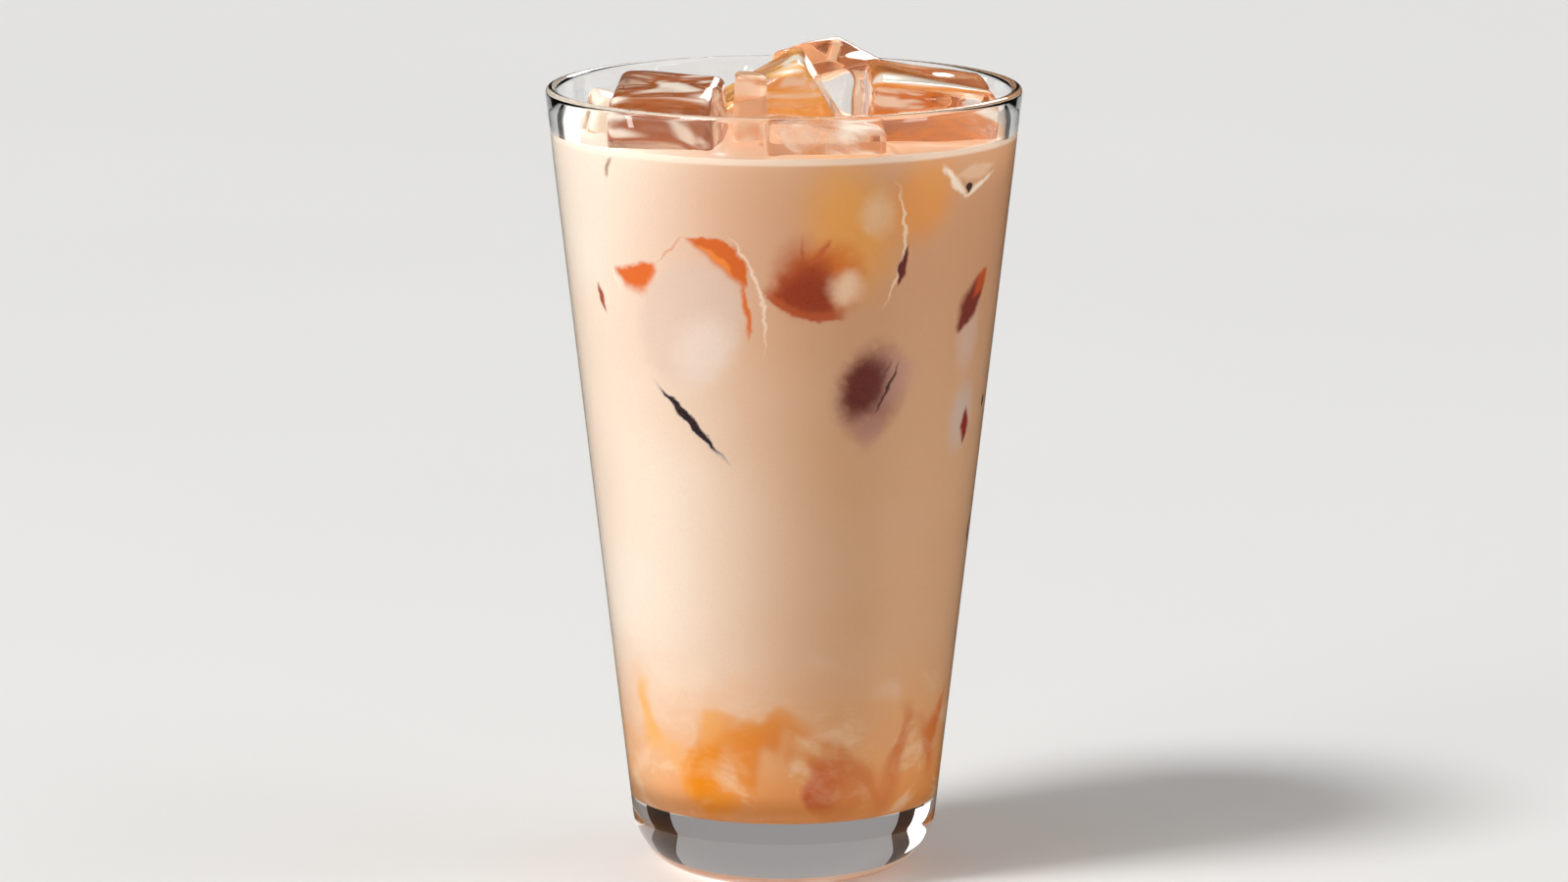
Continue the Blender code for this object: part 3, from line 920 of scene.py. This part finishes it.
class LATTE_OT_ice(bpy.types.Operator):
    """Build the blocks of ice that stand out of the drink"""

    bl_idname = "latte.ice"
    bl_label = "Ice"

    def execute(self, context):
        waviness = context.scene.latte_sizes.ice_waviness
        for index, (name, *_) in enumerate(ICE):
            points, faces = ice_points(index, ICE_CELLS, waviness)
            block = new_mesh_object(name + "_block", points, faces)
            dress(block, ice_finish(name, context.scene.latte_colours, index), "clear_ice", name)
        return {"FINISHED"}


def add_lamp(name, kind, strength, aim):
    """A lamp that shines against aim, the direction its light comes from."""
    lamp = bpy.data.lights.new(name, kind)
    lamp.energy = strength
    made = bpy.data.objects.new(name, lamp)
    made.rotation_euler = Vector(aim).to_track_quat("Z", "Y").to_euler()
    bpy.context.scene.collection.objects.link(made)
    return made


def softbox(name, place, target, size, colour, power):
    """A rectangular light that only shows in glass and in other reflections."""
    made = add_lamp(name, "AREA", power, Vector(place) - Vector(target))
    made.location = place
    made.data.shape = "RECTANGLE"
    made.data.size, made.data.size_y = size
    made.data.color = colour
    made.visible_diffuse = False
    return made


def circle(radius, height, count):
    """Points evenly round a level circle about Z: (r cos t, r sin t, h)."""
    turns = np.linspace(0.0, math.tau, count, endpoint=False)
    return np.column_stack((radius * np.cos(turns), radius * np.sin(turns), np.full(count, height)))


def stage_piece(name, points, faces, material, hidden_from=()):
    """A piece of the stage. hidden_from names the kinds of ray that do not see it."""
    piece = new_mesh_object(name, points, faces)
    piece.data.materials.append(material)
    for ray in hidden_from:
        setattr(piece, "visible_" + ray, False)


def make_floor():
    """A pale round floor with slow changes of tone."""
    paper = Finish("pale_floor")
    tone = paper.mix(paper.noise(paper.place(), *GROUND_NOISE), *GROUND_TONES)
    ring = circle(GROUND_RADIUS, GROUND_HEIGHT, GROUND_POINTS)
    stage_piece("floor", ring, [list(range(GROUND_POINTS))], paper.surface(paper.diffuse(tone)))


def make_cards():
    """Dark cards and flags, which keep the clear parts from washing out."""
    black = Finish("dark_cloth")
    cloth = black.surface(black.diffuse(CLOTH_TONE))
    here = np.arange(CARD_POINTS)
    there = np.roll(here, -1)
    band = np.stack((here, there, there + CARD_POINTS, here + CARD_POINTS), axis=-1).tolist()
    for name, low, high in CARDS:
        edges = np.concatenate((circle(*low, CARD_POINTS), circle(*high, CARD_POINTS)))
        stage_piece(name, edges, band, cloth, ("camera", "shadow", "diffuse", "transmission"))
    for name, middle, depth, half_width in FLAGS:
        left, right = middle - half_width, middle + half_width
        outline = ((left, 0.0), (right, 0.0), (right, FLAG_HEIGHT), (left, FLAG_HEIGHT))
        corners = [(across, depth, height) for across, height in outline]
        stage_piece(name, corners, [(0, 1, 2, 3)], cloth, ("camera", "shadow", "diffuse"))


def make_camera(scene):
    """The camera, as fitted to the photograph."""
    lens = bpy.data.cameras.new("camera")
    lens.sensor_width = SENSOR_WIDTH
    lens.lens = FOCAL_PIXELS / IMAGE_WIDTH * SENSOR_WIDTH
    lens.clip_start, lens.clip_end = CLIP_START, CLIP_END
    camera = bpy.data.objects.new("camera", lens)
    camera.location = (0.0, -CAMERA_DISTANCE, CAMERA_HEIGHT)
    camera.rotation_euler = (math.radians(90.0 - CAMERA_PITCH), 0.0, 0.0)
    scene.collection.objects.link(camera)
    scene.camera = camera


class LATTE_OT_stage(bpy.types.Operator):
    """Make the floor, the lights and the camera"""

    bl_idname = "latte.stage"
    bl_label = "Stage"

    def execute(self, context):
        scene = context.scene
        settings = scene.latte_stage
        make_floor()
        for name, direction, angle in FAR_LIGHTS:
            sun = add_lamp(name, "SUN", getattr(settings, name), direction)
            sun.data.angle = math.radians(angle)
        boxes = {box[0]: softbox(*box, getattr(settings, box[0])) for box in SOFTBOXES}
        boxes["key_light"].visible_diffuse = True
        boxes["low_light"].visible_glossy = False
        make_cards()

        world = bpy.data.worlds.new("studio")
        world.use_nodes = True
        backdrop = world.node_tree.nodes["Background"]
        backdrop.inputs["Color"].default_value = WORLD_TONE
        backdrop.inputs["Strength"].default_value = settings.world
        scene.world = world
        scene.view_settings.view_transform = "Standard"
        make_camera(scene)
        return {"FINISHED"}


class LATTE_PT_panel(bpy.types.Panel):
    """Buttons for the pieces and the stage"""

    bl_label = "Iced latte"
    bl_idname = "LATTE_PT_panel"
    bl_space_type = "VIEW_3D"
    bl_region_type = "UI"
    bl_category = "Latte"

    def draw(self, context):
        for step in STEPS:
            self.layout.operator(step)
        scene = context.scene
        for group in (scene.latte_sizes, scene.latte_colours, scene.latte_stage):
            for key in group.__annotations__:
                self.layout.prop(group, key)


STEPS = ("latte.glass", "latte.drink", "latte.ice", "latte.stage")
CLASSES = (
    LatteSizes,
    LatteColours,
    LatteStage,
    LATTE_OT_glass,
    LATTE_OT_drink,
    LATTE_OT_ice,
    LATTE_OT_stage,
    LATTE_PT_panel,
)


def register():
    for entry in CLASSES:
        bpy.utils.register_class(entry)
    bpy.types.Scene.latte_sizes = PointerProperty(type=LatteSizes)
    bpy.types.Scene.latte_colours = PointerProperty(type=LatteColours)
    bpy.types.Scene.latte_stage = PointerProperty(type=LatteStage)


def unregister():
    del bpy.types.Scene.latte_stage
    del bpy.types.Scene.latte_colours
    del bpy.types.Scene.latte_sizes
    for entry in reversed(CLASSES):
        bpy.utils.unregister_class(entry)


def main():
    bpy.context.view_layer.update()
    register()
    bpy.ops.latte.glass()
    bpy.ops.latte.drink()
    bpy.ops.latte.ice()
    bpy.ops.latte.stage()


if __name__ == "__main__":
    main()
